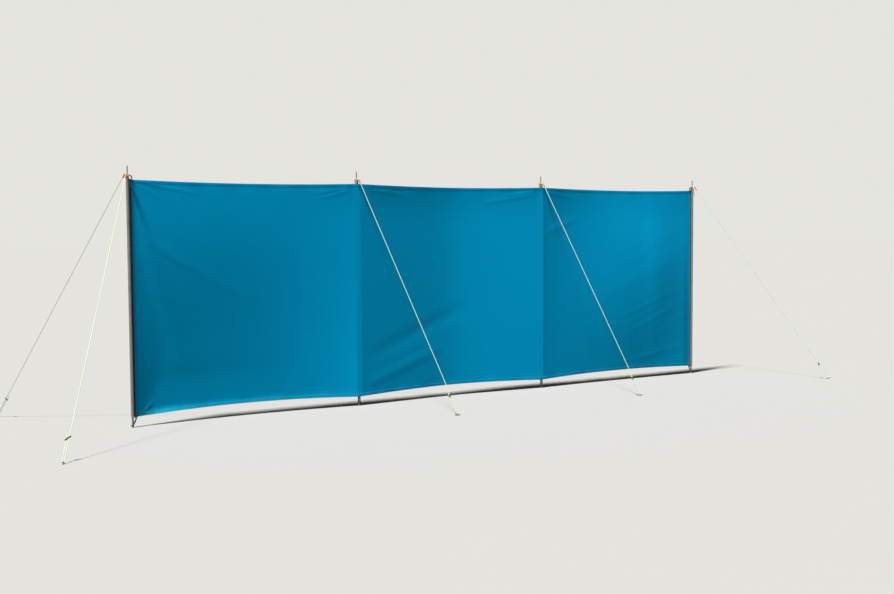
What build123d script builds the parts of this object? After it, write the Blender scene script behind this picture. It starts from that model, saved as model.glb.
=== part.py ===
"""Beach windbreak: one long cloth wall in three bays, on four slim steel poles.

The origin is the middle of the left end pole's foot, on the ground. X runs along the row,
-Y is the side that people sit on, and Z is up. Every pole has a guy rope to the front and one
to the back, each with a slider and a peg.
"""

import os
from math import acos, asin, atan2, cos, degrees, hypot, radians, sin, sqrt, tan

from build123d import *

os.makedirs("parts", exist_ok=True)

# The row
BAYS = 3
BAY_LENGTH = 1500.0
CLOTH_HEIGHT = 1400.0
HEM_LIFT = 60.0  # the cloth's lower corners above the ground
FIT_GAP = 0.3  # clear distance between pieces that rest on each other

# The cloth, with its shallow curves between two poles
CLOTH_THICK = 1.6
TOP_SAG = 12.0
HEM_RISE = 18.0
BELLY = 45.0
FLAT_AT_POLE = 30.0

# The poles
POLE_RADIUS = 9.5
TUBE_WALL = 1.0
SHOULDER_ABOVE_CLOTH = 21.0  # the plug's top face over the cloth's upper corners

# The foot in the lower end of each pole, with a stub that stands on the ground
FOOT_RADIUS = 6.5
FOOT_HEIGHT = 64.0
FOOT_COLLAR = 3.0
FOOT_CHAMFER = 0.8

# The steel pin and plug in the top of each pole
PIN_RADIUS = 3.0
PIN_RISE = 60.0
PIN_TIP_TAPER = 2.0
PLUG_DEPTH = 30.0
PLUG_FLANGE = 3.0
PLUG_EDGE_TAPER = 1.6

# The black webbing along the cloth's ends and at the poles
TAPE_THICK = 1.5
TAPE_FOLD = 14.0  # how far the folded tape reaches over the cloth's edge
TAPE_END = 6.0  # how far the tapes run past the upper edge and the hem
MIDDLE_TAPE_WIDTH = 18.0
MIDDLE_TAPE_TOP = 60.0  # how far it runs down behind the cloth from the upper edge
MIDDLE_TAPE_FOOT = 50.0  # how far it runs up behind the cloth from the hem

# The elastic loops that hold the cloth's corners to the pins and the feet
ELASTIC_RADIUS = 2.2
ELASTIC_SEWN = 16.0  # how much of each leg is sewn to the folded tape
ELASTIC_KNEE = 8.0  # the slanting stretch of a leg before it turns in to the pin
ELASTIC_FROM_EDGE = 2.0  # between a leg and the folded tape's inner edge
ELASTIC_LIFT = 12.0  # the lower loops above the ground
MIDDLE_LEG_ASIDE = 5.0  # the legs behind the cloth, from the middle of their tape

# The cloth sleeves that the middle poles stand in
SLEEVE_THICK = 1.2
SLEEVE_SLACK = 0.4
SLEEVE_HALF_WIDTH = 25.0
SLEEVE_END_GAP = 5.0

# The guy ropes
ROPE_RADIUS = 2.0
KNOT_RADIUS = 4.5
KNOT_LENGTH = 9.0
KNOT_OUT = 20.0  # from the pin's axis
END_KNOT_RADIUS = 3.8
END_KNOT_LENGTH = 7.0
PEG_LOOP_HEIGHT = 10.0  # the loop round the peg
SLIDER_FROM_PEG = 130.0
TAIL_SPREAD = 1.6  # degrees between the rope's short end and the line to the slider
END_PEG_ALONG = 600.0  # outward, past the end pole
END_PEG_ASIDE = 860.0
MIDDLE_PEG_ALONG = 320.0
MIDDLE_PEG_ASIDE = 720.0

# The sliders and the pegs
SLIDER_LENGTH = 38.0
SLIDER_WIDTH = 11.0
SLIDER_THICK = 4.0
SLIDER_HOLE_GAP = 0.35
SLIDER_TILT = 40.0  # degrees that the pull of the rope tips each slider over
SLIDER_CHAMFER = 0.8
PEG_RADIUS = 3.0
PEG_SHANK = 9.0  # from the rope's loop to the bend
PEG_BEND_RADIUS = 5.0
PEG_HOOK = 4.0

# Cords and wires are drawn with few sides
CORD_SIDES = 8
WIRE_SIDES = 12
LOOP_STEPS = 6  # straight steps in each half of a loop

# Worked out from the sizes above
CLOTH_TOP = HEM_LIFT + CLOTH_HEIGHT
SHOULDER = CLOTH_TOP + SHOULDER_ABOVE_CLOTH
POLE_TOP = SHOULDER - PLUG_FLANGE - FIT_GAP
POLE_BOTTOM = FOOT_HEIGHT + FOOT_COLLAR + FIT_GAP
TUBE_BORE = POLE_RADIUS - TUBE_WALL
TAPE_NEAR = POLE_RADIUS + FIT_GAP  # the tape's face that lies against the pole
TAPE_FAR = TAPE_NEAR + TAPE_THICK
CLOTH_NEAR = TAPE_FAR + FIT_GAP
MIDDLE_CLOTH_Y = -(CLOTH_NEAR + CLOTH_THICK / 2)
PIN_LOOP_RADIUS = PIN_RADIUS + FIT_GAP + ELASTIC_RADIUS
PIN_LOOP_HEIGHT = SHOULDER + FIT_GAP + ELASTIC_RADIUS
FOOT_LOOP_RADIUS = FOOT_RADIUS + FIT_GAP + ELASTIC_RADIUS
END_LEG_OUT = TAPE_NEAR + TAPE_FOLD - ELASTIC_FROM_EDGE
END_LEG_ASIDE = CLOTH_THICK / 2 + FIT_GAP + ELASTIC_RADIUS
MIDDLE_LEG_OUT = sqrt((TAPE_NEAR + ELASTIC_RADIUS) ** 2 - MIDDLE_LEG_ASIDE**2)
EYE_RADIUS = PIN_RADIUS + FIT_GAP + ROPE_RADIUS
LOW_EYE = PIN_LOOP_HEIGHT + ELASTIC_RADIUS + FIT_GAP + ROPE_RADIUS
EYE_STEP = 2 * ROPE_RADIUS + FIT_GAP
PEG_LOOP_RADIUS = PEG_RADIUS + FIT_GAP + ROPE_RADIUS
PAST_EVERYTHING = 200.0  # how far a cutting or keeping solid runs past the cloth


def keep(part, label):
    """Name a finished piece and write it as its own file."""
    part.label = label
    export_step(part, f"parts/{label}.step")


def pole_x(number):
    return (number - 1) * BAY_LENGTH


def is_end(number):
    return number in (1, BAYS + 1)


def inward(number):
    """+1 where the cloth lies on the +X side of an end pole, -1 where it lies on the -X side."""
    return 1 if number == 1 else -1


def cloth_edge(number, side):
    """Where the cloth's middle line ends at a pole, on the side of the bay asked for."""
    if is_end(number):
        return (pole_x(number) + side * CLOTH_NEAR, 0.0)
    return (pole_x(number) + side * FIT_GAP / 2, MIDDLE_CLOTH_Y)


def cloth_bay(number):
    """One bay, flat beside its poles, bellied to the back between them, with curved edges."""
    x0, y0 = cloth_edge(number, 1)
    x1, y1 = cloth_edge(number + 1, -1)
    x_mid = (x0 + x1) / 2
    y_mid = (y0 + y1) / 2 + BELLY
    half = CLOTH_THICK / 2
    with BuildPart() as bay:
        with BuildSketch(Plane.XY):
            with BuildLine():
                Line((x0, y0 - half), (x0 + FLAT_AT_POLE, y0 - half))
                ThreePointArc(
                    (x0 + FLAT_AT_POLE, y0 - half),
                    (x_mid, y_mid - half),
                    (x1 - FLAT_AT_POLE, y1 - half),
                )
                Line((x1 - FLAT_AT_POLE, y1 - half), (x1, y1 - half))
                Line((x1, y1 - half), (x1, y1 + half))
                Line((x1, y1 + half), (x1 - FLAT_AT_POLE, y1 + half))
                ThreePointArc(
                    (x1 - FLAT_AT_POLE, y1 + half),
                    (x_mid, y_mid + half),
                    (x0 + FLAT_AT_POLE, y0 + half),
                )
                Line((x0 + FLAT_AT_POLE, y0 + half), (x0, y0 + half))
                Line((x0, y0 + half), (x0, y0 - half))
            make_face()
        extrude(amount=CLOTH_TOP)
        with BuildSketch(Plane.XZ):
            with BuildLine():
                ThreePointArc((x0, CLOTH_TOP), (x_mid, CLOTH_TOP - TOP_SAG), (x1, CLOTH_TOP))
                Line((x1, CLOTH_TOP), (x1, HEM_LIFT))
                ThreePointArc((x1, HEM_LIFT), (x_mid, HEM_LIFT + HEM_RISE), (x0, HEM_LIFT))
                Line((x0, HEM_LIFT), (x0, CLOTH_TOP))
            make_face()
        extrude(amount=PAST_EVERYTHING, both=True, mode=Mode.INTERSECT)
    return bay.part


def pole(number):
    with BuildPart() as tube:
        with BuildSketch(Plane((pole_x(number), 0, POLE_BOTTOM))):
            Circle(POLE_RADIUS)
            Circle(TUBE_BORE, mode=Mode.SUBTRACT)
        extrude(amount=POLE_TOP - POLE_BOTTOM)
    return tube.part


def pole_pin(number):
    """A turned plug in the pole's top, with the pin that the loops and ropes hang on."""
    with BuildPart() as pin:
        with BuildSketch(Plane.XZ.shift_origin((pole_x(number), 0, 0))):
            with BuildLine():
                Polyline(
                    (0, SHOULDER - PLUG_FLANGE - PLUG_DEPTH),
                    (TUBE_BORE - FIT_GAP, SHOULDER - PLUG_FLANGE - PLUG_DEPTH),
                    (TUBE_BORE - FIT_GAP, SHOULDER - PLUG_FLANGE),
                    (POLE_RADIUS, SHOULDER - PLUG_FLANGE),
                    (POLE_RADIUS, SHOULDER - PLUG_EDGE_TAPER),
                    (POLE_RADIUS - PLUG_EDGE_TAPER, SHOULDER),
                    (PIN_RADIUS, SHOULDER),
                    (PIN_RADIUS, SHOULDER + PIN_RISE - PIN_TIP_TAPER),
                    (PIN_RADIUS - PIN_TIP_TAPER, SHOULDER + PIN_RISE),
                    (0, SHOULDER + PIN_RISE),
                    close=True,
                )
            make_face()
        revolve(axis=Axis((pole_x(number), 0, 0), (0, 0, 1)))
    return pin.part


def foot_cap(number):
    """A turned foot: a plug in the tube's lower end, a collar, and a thinner stub to the ground."""
    with BuildPart() as foot:
        with BuildSketch(Plane.XZ.shift_origin((pole_x(number), 0, 0))):
            with BuildLine():
                Polyline(
                    (0, 0),
                    (FOOT_RADIUS - FOOT_CHAMFER, 0),
                    (FOOT_RADIUS, FOOT_CHAMFER),
                    (FOOT_RADIUS, FOOT_HEIGHT),
                    (POLE_RADIUS, FOOT_HEIGHT),
                    (POLE_RADIUS, FOOT_HEIGHT + FOOT_COLLAR),
                    (TUBE_BORE - FIT_GAP, FOOT_HEIGHT + FOOT_COLLAR),
                    (TUBE_BORE - FIT_GAP, FOOT_HEIGHT + FOOT_COLLAR + PLUG_DEPTH),
                    (0, FOOT_HEIGHT + FOOT_COLLAR + PLUG_DEPTH),
                    close=True,
                )
            make_face()
        revolve(axis=Axis((pole_x(number), 0, 0), (0, 0, 1)))
    return foot.part


def point_round(plane, radius, angle):
    """A point of a plane, at a radius from its origin and degrees round from its X axis."""
    turn = radians(angle)
    return plane.from_local_coords(Vector(radius * cos(turn), radius * sin(turn), 0))


def loop_corners(plane, radius, first, last):
    """The corners of a loop of straight steps, each of which just touches its circle."""
    steps = 2 * LOOP_STEPS
    step = (last - first) / steps
    reach = radius / cos(radians(step / 2))
    return [point_round(plane, reach, first + step * (i + 0.5)) for i in range(steps)]


def elastic_route(number, upper):
    """The way of an elastic loop: up one leg, round the pin or the foot, and down the other."""
    radius = PIN_LOOP_RADIUS if upper else FOOT_LOOP_RADIUS
    height = PIN_LOOP_HEIGHT if upper else ELASTIC_LIFT
    if is_end(number):
        to_cloth, aside = Vector(inward(number), 0, 0), END_LEG_ASIDE
        if upper:
            leg = [(END_LEG_OUT, CLOTH_TOP - ELASTIC_SEWN), (END_LEG_OUT, height - ELASTIC_KNEE)]
            leg.append((END_LEG_OUT - ELASTIC_KNEE, height))
        else:
            leg = [(END_LEG_OUT, HEM_LIFT + ELASTIC_SEWN), (END_LEG_OUT, HEM_LIFT - FIT_GAP)]
    else:
        to_cloth, aside = Vector(0, -1, 0), MIDDLE_LEG_ASIDE
        if upper:
            leg = [(MIDDLE_LEG_OUT, CLOTH_TOP + 2 * FIT_GAP), (MIDDLE_LEG_OUT, height)]
        else:
            leg = [(MIDDLE_LEG_OUT, HEM_LIFT - 2 * FIT_GAP)]
    ring = Plane(origin=(pole_x(number), 0, height), x_dir=to_cloth, z_dir=(0, 0, 1))
    last_out = leg[-1][0]
    touch = degrees(atan2(aside, last_out) + acos(radius / hypot(last_out, aside)))
    loop = loop_corners(ring, radius, touch, 360 - touch)
    up_leg = [ring.from_local_coords(Vector(out, aside, z - height)) for out, z in leg]
    down_leg = [ring.from_local_coords(Vector(out, -aside, z - height)) for out, z in leg[::-1]]
    return up_leg + loop + down_leg


def end_webbing(number):
    """The tape folded over the cloth's end edge, with an elastic loop at each corner."""
    x, side = pole_x(number), inward(number)
    fold_middle = x + side * (TAPE_NEAR + TAPE_FOLD / 2)
    fold_half = CLOTH_THICK / 2 + FIT_GAP + TAPE_THICK
    fold_bottom = HEM_LIFT - TAPE_END
    fold_top = CLOTH_TOP + TAPE_END
    slot_middle = x + side * (TAPE_FAR + TAPE_FOLD / 2)
    with BuildPart() as tape:
        with BuildSketch(Plane((fold_middle, 0, fold_bottom))):
            Rectangle(TAPE_FOLD, 2 * fold_half)
        extrude(amount=fold_top - fold_bottom)
        with BuildSketch(Plane((slot_middle, 0, HEM_LIFT - FIT_GAP))):
            Rectangle(TAPE_FOLD, CLOTH_THICK + 2 * FIT_GAP)
        extrude(amount=CLOTH_HEIGHT + 2 * FIT_GAP, mode=Mode.SUBTRACT)
        for upper in (True, False):
            route = elastic_route(number, upper)
            with BuildLine():
                Polyline(*route)
            with BuildSketch(Plane(origin=route[0], z_dir=route[1] - route[0])):
                RegularPolygon(ELASTIC_RADIUS, CORD_SIDES)
            sweep(transition=Transition.RIGHT)
    return tape.part


def middle_webbing(number):
    """Two short tapes behind the cloth at a middle pole, each with its elastic loop."""
    tape_y = -(TAPE_NEAR + TAPE_THICK / 2)
    stretches = (
        (CLOTH_TOP - MIDDLE_TAPE_TOP, CLOTH_TOP + TAPE_END),
        (HEM_LIFT - TAPE_END, HEM_LIFT + MIDDLE_TAPE_FOOT),
    )
    with BuildPart() as tape:
        for low, high in stretches:
            with BuildSketch(Plane((pole_x(number), tape_y, low))):
                Rectangle(MIDDLE_TAPE_WIDTH, TAPE_THICK)
            extrude(amount=high - low)
        for upper in (True, False):
            route = elastic_route(number, upper)
            with BuildLine():
                Polyline(*route)
            with BuildSketch(Plane(origin=route[0], z_dir=route[1] - route[0])):
                RegularPolygon(ELASTIC_RADIUS, CORD_SIDES)
            sweep(transition=Transition.RIGHT)
    return tape.part


def pole_sleeve(number):
    """A closed tunnel of cloth round a middle pole, sewn flat to the back of the wall."""
    bottom = HEM_LIFT + MIDDLE_TAPE_FOOT + SLEEVE_END_GAP
    top = CLOTH_TOP - MIDDLE_TAPE_TOP - SLEEVE_END_GAP
    flange_y = -(CLOTH_NEAR - FIT_GAP - SLEEVE_THICK / 2)
    inside = POLE_RADIUS + SLEEVE_SLACK
    with BuildPart() as sleeve:
        with BuildSketch(Plane((pole_x(number), 0, bottom))):
            Circle(inside + SLEEVE_THICK)
            with Locations((0, flange_y)):
                Rectangle(2 * SLEEVE_HALF_WIDTH, SLEEVE_THICK)
            Circle(inside, mode=Mode.SUBTRACT)
        extrude(amount=top - bottom)
    return sleeve.part


class Stay:
    """Where one guy rope runs. Its loop, its slider and its knots lie in one sloping plane."""

    def __init__(self, number, toward):
        if is_end(number):
            along, aside = -inward(number) * END_PEG_ALONG, toward * END_PEG_ASIDE
        else:
            along, aside = MIDDLE_PEG_ALONG, toward * MIDDLE_PEG_ASIDE
        x = pole_x(number)
        flat = hypot(along, aside)
        self.out = Vector(along / flat, aside / flat, 0)
        self.eye = Vector(x, 0, LOW_EYE if toward < 0 else LOW_EYE + EYE_STEP)
        self.knot = self.eye + self.out * KNOT_OUT
        self.ring = Vector(x + along, aside, PEG_LOOP_HEIGHT)
        self.length = (self.knot - self.ring).length
        self.up = (self.knot - self.ring).normalized()
        self.across = Vector(-self.out.Y, self.out.X, 0)
        self.peg_way = self.across.cross(self.up)
        self.plane = Plane(origin=self.ring, x_dir=self.across, z_dir=self.peg_way)

    def main_x(self, height):
        """How far the long run lies to the side at a height over the peg's loop."""
        lean = asin(PEG_LOOP_RADIUS / self.length)
        return (PEG_LOOP_RADIUS - height * sin(lean)) / cos(lean)

    def tail_x(self, height):
        """The same for the short run that comes back up from the peg."""
        lean = radians(TAIL_SPREAD)
        return -(PEG_LOOP_RADIUS + height * sin(lean)) / cos(lean)

    def end_knot(self):
        """The lower end of the knot that stops the short run above the tipped slider."""
        half_apart = (self.main_x(SLIDER_FROM_PEG) - self.tail_x(SLIDER_FROM_PEG)) / 2
        hole = SLIDER_FROM_PEG - half_apart * tan(radians(SLIDER_TILT))
        face = hole + SLIDER_THICK / 2 / cos(radians(SLIDER_TILT))
        seat = face + END_KNOT_RADIUS * tan(radians(SLIDER_TILT)) + FIT_GAP
        return self.plane.from_local_coords(Vector(self.tail_x(seat), seat, 0))


def guy_rope(stay):
    """Rope with an eye round the pin, a knot, a taut run, and a loop round the peg."""
    eye_plane = Plane(origin=stay.eye, x_dir=stay.across, z_dir=(0, 0, -1))
    eye_lean = degrees(asin(EYE_RADIUS / KNOT_OUT))
    main_lean = degrees(asin(PEG_LOOP_RADIUS / stay.length))
    eye = loop_corners(eye_plane, EYE_RADIUS, 180 - eye_lean, 360 + eye_lean)
    far_point = point_round(eye_plane, EYE_RADIUS, 270)
    peg_loop = loop_corners(stay.plane, PEG_LOOP_RADIUS, 360 + main_lean, 180 + TAIL_SPREAD)
    end_knot = stay.end_knot()
    routes = (
        ([stay.knot] + eye[:LOOP_STEPS] + [far_point], eye_plane.z_dir),
        ([stay.knot] + eye[:LOOP_STEPS - 1:-1] + [far_point], eye_plane.z_dir),
        ([stay.knot] + peg_loop + [end_knot], stay.plane.z_dir),
    )
    knots = (
        (stay.knot - stay.up * KNOT_LENGTH / 2, stay.up, KNOT_RADIUS, KNOT_LENGTH),
        (end_knot, (end_knot - peg_loop[-1]).normalized(), END_KNOT_RADIUS, END_KNOT_LENGTH),
    )
    with BuildPart() as rope:
        for route, square_way in routes:
            with BuildLine():
                Polyline(*route)
            with BuildSketch(Plane(origin=route[0], x_dir=square_way, z_dir=route[1] - route[0])):
                RegularPolygon(ROPE_RADIUS, CORD_SIDES)
            sweep(transition=Transition.RIGHT)
        for foot, way, radius, length in knots:
            with BuildSketch(Plane(origin=foot, x_dir=stay.peg_way, z_dir=way)):
                RegularPolygon(radius, CORD_SIDES)
            extrude(amount=length)
    return rope.part


def slider(stay):
    """A flat runner, tipped over by the pull, with two holes bored along the rope."""
    centre = stay.ring + stay.up * SLIDER_FROM_PEG
    main_x, tail_x = stay.main_x(SLIDER_FROM_PEG), stay.tail_x(SLIDER_FROM_PEG)
    tilt = radians(SLIDER_TILT)
    middle = centre + stay.across * (main_x + tail_x) / 2
    long_way = stay.across * cos(tilt) + stay.up * sin(tilt)
    thick_way = long_way.cross(stay.peg_way)
    with BuildPart() as runner:
        with BuildSketch(Plane(origin=middle, x_dir=long_way, z_dir=thick_way)):
            SlotOverall(SLIDER_LENGTH, SLIDER_WIDTH)
        extrude(amount=SLIDER_THICK / 2, both=True)
        broad_faces = runner.faces().sort_by(Axis(middle, thick_way))
        chamfer(broad_faces[0].edges() + broad_faces[-1].edges(), SLIDER_CHAMFER)
        with BuildSketch(Plane(origin=centre, x_dir=stay.across, z_dir=stay.up)):
            with Locations((main_x, 0), (tail_x, 0)):
                Circle(ROPE_RADIUS + SLIDER_HOLE_GAP)
        extrude(amount=SLIDER_LENGTH, both=True, mode=Mode.SUBTRACT)
    return runner.part


def peg(stay):
    """The part of a wire peg that stands out of the ground, square to its rope and hooked."""
    bend_start = stay.ring + stay.peg_way * PEG_SHANK
    bend_end = bend_start + (stay.peg_way - stay.up) * PEG_BEND_RADIUS
    buried = stay.ring - stay.peg_way * PEG_SHANK
    with BuildPart() as hook:
        with BuildLine():
            Line(buried, bend_start)
            TangentArc(bend_start, bend_end, tangent=stay.peg_way)
            Line(bend_end, bend_end - stay.up * PEG_HOOK)
        with BuildSketch(Plane(origin=buried, x_dir=stay.across, z_dir=stay.peg_way)):
            RegularPolygon(PEG_RADIUS, WIRE_SIDES)
        sweep()
        split(bisect_by=Plane.XY, keep=Keep.TOP)
    return hook.part


for n in range(1, BAYS + 1):
    keep(cloth_bay(n), f"cloth_bay_{n}")

for n in range(1, BAYS + 2):
    keep(pole(n), f"pole_{n}")
    keep(pole_pin(n), f"pole_pin_{n}")
    keep(foot_cap(n), f"foot_cap_{n}")
    if is_end(n):
        keep(end_webbing(n), f"webbing_{n}")
    else:
        keep(middle_webbing(n), f"webbing_{n}")
        keep(pole_sleeve(n), f"pole_sleeve_{n}")
    for name, toward_y in (("front", -1), ("back", 1)):
        stay_here = Stay(n, toward_y)
        keep(guy_rope(stay_here), f"guy_rope_{name}_{n}")
        keep(slider(stay_here), f"slider_{name}_{n}")
        keep(peg(stay_here), f"peg_{name}_{n}")
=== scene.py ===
"""The looks of a beach windbreak: one long cloth wall on four steel poles, stayed by eight ropes.

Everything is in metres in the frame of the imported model. X runs along the row, -Y is its front,
which the camera sees, and Z is up.
"""

import math

import bpy
import numpy as np
from mathutils import Matrix, Vector


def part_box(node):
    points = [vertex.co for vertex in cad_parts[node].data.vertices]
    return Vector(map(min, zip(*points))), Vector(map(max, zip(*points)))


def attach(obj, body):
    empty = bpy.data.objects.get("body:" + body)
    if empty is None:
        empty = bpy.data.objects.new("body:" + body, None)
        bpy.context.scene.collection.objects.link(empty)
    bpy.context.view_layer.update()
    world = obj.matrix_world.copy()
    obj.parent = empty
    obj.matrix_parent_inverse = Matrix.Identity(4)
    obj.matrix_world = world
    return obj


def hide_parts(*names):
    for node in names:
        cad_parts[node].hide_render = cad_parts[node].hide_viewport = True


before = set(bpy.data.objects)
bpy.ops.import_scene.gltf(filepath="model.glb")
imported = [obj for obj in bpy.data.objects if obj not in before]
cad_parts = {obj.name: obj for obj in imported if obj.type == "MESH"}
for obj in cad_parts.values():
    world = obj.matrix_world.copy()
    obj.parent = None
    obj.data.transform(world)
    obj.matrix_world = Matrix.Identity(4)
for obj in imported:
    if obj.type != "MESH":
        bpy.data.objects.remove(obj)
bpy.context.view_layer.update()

MM = 0.001

# What the boxes of the solids don't give
POLE_COUNT = 4
BAY_COUNT = POLE_COUNT - 1
SOLID_CLOTH_THICK = 1.6 * MM
PIN_RADIUS = 3 * MM
PIN_RISE = 60 * MM  # from a pin's shoulder to its tip
FOOT_RADIUS = 6.5 * MM
FIT_GAP = 0.3 * MM  # between pieces that rest on each other

# The row, read from the frame
POLE_X = [sum(corner.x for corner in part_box(f"pole_{n}")) / 2 for n in range(1, POLE_COUNT + 1)]
POLE_RADIUS = (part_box("pole_1")[1].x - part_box("pole_1")[0].x) / 2
CLOTH_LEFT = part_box("cloth_bay_1")[0].x
CLOTH_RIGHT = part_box(f"cloth_bay_{BAY_COUNT}")[1].x
CLOTH_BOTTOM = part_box("cloth_bay_1")[0].z
CLOTH_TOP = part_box("cloth_bay_1")[1].z
MIDDLE_CLOTH_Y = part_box("cloth_bay_2")[0].y + SOLID_CLOTH_THICK / 2
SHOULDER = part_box("pole_pin_1")[1].z - PIN_RISE  # where the bare pins start

# The cloth and its hems
CLOTH_THICK = 0.7 * MM
TOP_SAG = 12 * MM
HEM_RISE = 18 * MM
BELLY_HIGH = np.array([8, 44, 32]) * MM  # how deep each bay bellies at its upper edge
BELLY_LOW = np.array([54, 46, 24]) * MM  # and at its hem
FLAT_AT_POLE = 8 * MM  # how much of the cloth lies flat on each side of a pole's axis
POLE_CREST = 6 * MM  # how softly the cloth bends over a middle pole
FINE_STEP = 5 * MM
COARSE_STEP = 13.5 * MM
FINE_REACH = 220 * MM  # how far from a pole or an edge the mesh is finer
HEM_WIDTH = 20 * MM
HEM_ZONE = 45 * MM  # how far up the cloth is bent by its hem
HEM_STAND = 0.25 * MM  # how far the folded hem stands out from each face
HEM_SHORT = 0.5 * MM  # how much sooner the hems end than the cloth
TUNNEL_THICK = 0.7 * MM
TUNNEL_ROOM = 1.0 * MM  # between a middle pole and its tunnel
UPRIGHT_STEP = 8 * MM  # between the rings of tapes and tunnels

# Stitching
STITCH_LENGTH = 3.4 * MM
STITCH_PITCH = 4.6 * MM
THREAD_RADIUS = 0.25 * MM
SEAM_STEP = 6 * MM
POLE_SEAM_ASIDE = 20 * MM

# The black tape at the poles
TAPE_THICK = 1.4 * MM
TAPE_NEAR = POLE_RADIUS + FIT_GAP
TAPE_WIDTH = 9.5 * MM  # how much of the folded tape shows on each face
TAPE_HALF = 2.6 * MM  # from the wall's middle to the folded tape's outer faces
TAPE_END = 5 * MM  # how far the tapes run past the upper edge and the hem
MIDDLE_TAPE_WIDTH = 18 * MM
MIDDLE_TAPE_TOP = 60 * MM  # how far down the cloth the upper tape runs
MIDDLE_TAPE_FOOT = 50 * MM  # and how far up it the lower one does

# The elastic loops over the pins and round the feet
ELASTIC_RADIUS = 2.1 * MM
ELASTIC_OUT = 27 * MM  # from an end pole's axis to where its loops are sewn to the hems
ELASTIC_ROOM = 2.2 * MM  # from its axis to what it rings, besides the gap
ELASTIC_STEP = 1.8 * MM
ELASTIC_SIDES = 12
PIN_RING = PIN_RADIUS + FIT_GAP + ELASTIC_ROOM
FOOT_RING = FOOT_RADIUS + FIT_GAP + ELASTIC_ROOM
LOOP_HEIGHT = SHOULDER + 2.5 * MM
FOOT_LOOP_HEIGHT = 12 * MM

# The guy ropes
ROPE_RADIUS = 2 * MM
ROPE_STEP = 2.2 * MM
ROPE_SIDES = 12
ROPE_LAY = 15 * MM  # the length of one whole turn of its three strands
EYE_RADIUS = 5.3 * MM
LOW_EYE = SHOULDER + 7.0 * MM  # the front rope's eye, on the pin
EYE_STEP = 4.3 * MM  # how much higher the back rope's eye lies
EYE_STEPS = 24
KNOT_OUT = 20 * MM
COIL_STEPS = 16  # in one turn
WINDING_BELOW = 11 * MM
WINDING_RADIUS = 3.7 * MM
WINDING_TURNS = 7
WINDING_RISE = 3.9 * MM
PEG_RADIUS = 3 * MM
PEG_SIDES = 20
PEG_STEP = 1.2 * MM
PEG_SHANK = 9 * MM
PEG_BEND = 5 * MM
PEG_HOOK = 4 * MM
PEG_LOOP_RADIUS = 5.3 * MM
PEG_LOOP_HEIGHT = 10 * MM
PEG_LOOP_STEPS = 20
SLIDER_HEIGHT = 130.3 * MM  # up the rope from its loop round the peg
STOP_HEIGHT = SLIDER_HEIGHT + 5 * MM
STOP_RADIUS = 2.9 * MM
STOP_TURNS = 1.6
STOP_RISE = 3.7 * MM
TAIL_SPREAD = math.radians(1.6)
TAIL_PAST_STOP = 18 * MM
END_PEG_ALONG = 600 * MM
END_PEG_ASIDE = 860 * MM
MIDDLE_PEG_ALONG = 320 * MM
MIDDLE_PEG_ASIDE = 720 * MM

# The camera, as the photograph was taken
CAMERA_AT = (-1.8873, -6.5384, 1.1374)
CAMERA_YAW = math.radians(31.967)  # from +Y towards +X
CAMERA_PITCH = math.radians(-3.293)
CAMERA_ROLL = math.radians(-0.352)
CAMERA_LENS = 44.98
SENSOR_WIDTH = 36.0
VIEW_END = 200.0

# The studio
KEY_STRENGTH = 11.0
KEY_WAY = (0.40, 0.10, -0.91)
KEY_SOFTNESS = math.radians(6)
KEY_TINT = (1.0, 0.985, 0.96)
ROOM_LIGHT = 0.15
ROOM_TINT = (0.93, 0.97, 1.0, 1)
ROOM_SEEN = (0.784, 0.777, 0.738, 1)
FLOOR_PALE = 0.235
FLOOR_BOUNCE = 0.10  # how much of its light the floor gives back to the wall
FLOOR_REACH = 90.0
FLOOR_SPOTS = 9  # points along each side of its mesh

# The edges of the rigid pieces
STEEL_ROUNDING = 0.3 * MM
PLASTIC_ROUNDING = 0.6 * MM
SHARP_EDGE = math.radians(40)


def is_end(pole):
    return pole in (1, POLE_COUNT)


def outward(pole):
    """Which way along the row an end pole faces out."""
    return -1 if pole == 1 else 1


def half_turn(step):
    """The angles of a half circle, from -90 to 90 degrees."""
    return [math.radians(angle) for angle in range(-90, 91, step)]


# Small tools for meshes

END_TAPER = 0.55  # how slim a tube is at its two ends
SPAN_STEPS = 12  # between two given points of a smooth path


def add_piece(name, corners, faces, material, uvs=None):
    """Make a smooth mesh piece that rides on the row. uvs has one pair for each face corner."""
    mesh = bpy.data.meshes.new(name)
    mesh.from_pydata(np.asarray(corners).tolist(), [], faces)
    mesh.polygons.foreach_set("use_smooth", [True] * len(mesh.polygons))
    if uvs is not None:
        layer = mesh.uv_layers.new(name="cloth_way")
        layer.data.foreach_set("uv", np.asarray(uvs, np.float32).ravel())
    mesh.materials.append(material)
    piece = bpy.data.objects.new(name, mesh)
    bpy.context.scene.collection.objects.link(piece)
    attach(piece, "root")
    return piece


def corner_uvs(faces, per_point):
    """Spread one pair for each point over the corners of the faces."""
    order = np.fromiter((i for face in faces for i in face), int)
    return np.asarray(per_point, float)[order]


def grid_faces(rows, columns, start=0, flip=False):
    """Quads over a grid of points stored row by row."""
    faces = []
    for r in range(rows - 1):
        for c in range(columns - 1):
            a = start + r * columns + c
            quad = (a, a + 1, a + columns + 1, a + columns)
            faces.append(quad[::-1] if flip else quad)
    return faces


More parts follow.
